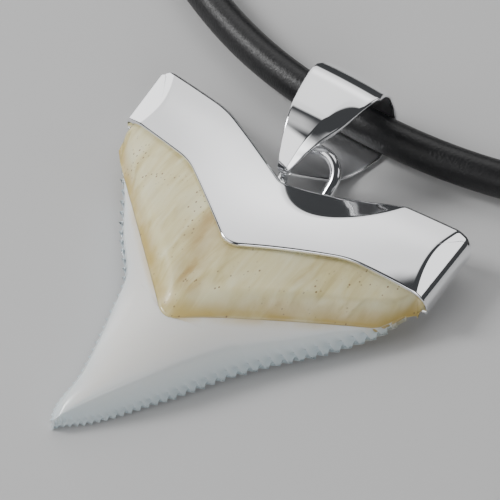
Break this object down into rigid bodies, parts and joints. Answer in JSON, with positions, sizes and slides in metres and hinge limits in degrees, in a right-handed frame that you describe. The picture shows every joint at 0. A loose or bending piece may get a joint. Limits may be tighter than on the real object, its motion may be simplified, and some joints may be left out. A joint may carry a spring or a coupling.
{
  "type": "tooth necklace",
  "caption": "Serrated shark tooth pendant in a V-shaped silver cap, hung by a wire loop and folded bail on a round leather cord with a barrel clasp, lying flat",
  "frame": {"origin": "on the flat back of the cap, 5 mm below the notch between the two root lobes", "axes": "+Z is away from the surface that the necklace lies on, +Y runs from the tooth's tip to the bail, +X is to the right seen from the front"},
  "size_m": [0.1472, 0.1984, 0.0104],
  "materials": {
    "enamel": "glossy translucent white enamel",
    "root": "satin cream bone with fine pores",
    "silver": "mirror polish",
    "leather": "black, semi-gloss, finely creased"
  },
  "bodies": {
    "root": {"tooth_crown": "enamel", "tooth_root": "root", "cap": "silver", "bail": "silver", "cord": "leather", "clasp": "silver"}
  },
  "joints": []
}
